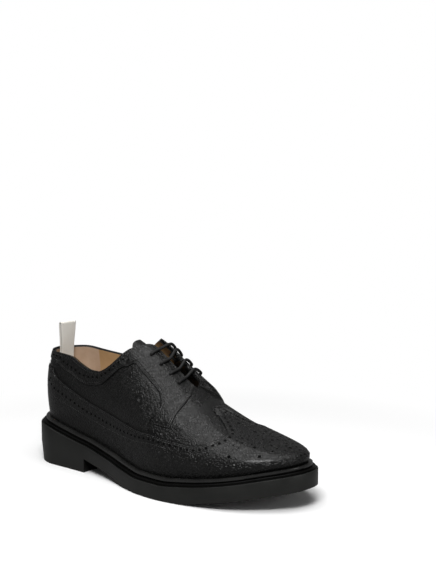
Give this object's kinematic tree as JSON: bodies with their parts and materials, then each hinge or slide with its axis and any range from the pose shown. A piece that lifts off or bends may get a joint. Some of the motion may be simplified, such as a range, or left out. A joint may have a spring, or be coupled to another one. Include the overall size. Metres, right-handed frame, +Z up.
{
  "type": "longwing brogue shoe",
  "caption": "Right longwing brogue shoe with an open-laced hollow leather upper, welted one-piece rubber sole with heel, tongue, lace and a ribbon pull loop at the back.",
  "frame": {"origin": "on the floor, under the middle of the sole's bounding box", "axes": "+X from heel to toe, +Y to the inner side of the foot, +Z up"},
  "size_m": [0.303, 0.1144, 0.1315],
  "materials": {
    "black_rubber": "satin black rubber",
    "welt_leather": "smooth dyed black edge",
    "upper_leather": "pebble grain, semi-gloss black",
    "tongue_leather": "pebble grain, semi-gloss black",
    "lining_leather": "smooth undyed tan",
    "lace_cord": "round waxed cotton, black",
    "tab_ribbon": "ribbed ribbon, off-white"
  },
  "bodies": {
    "root": {"outsole": "black_rubber", "welt": "welt_leather", "insole": "lining_leather", "upper": "upper_leather", "tongue": "tongue_leather", "lace": "lace_cord", "pull_tab": "tab_ribbon"}
  },
  "joints": []
}
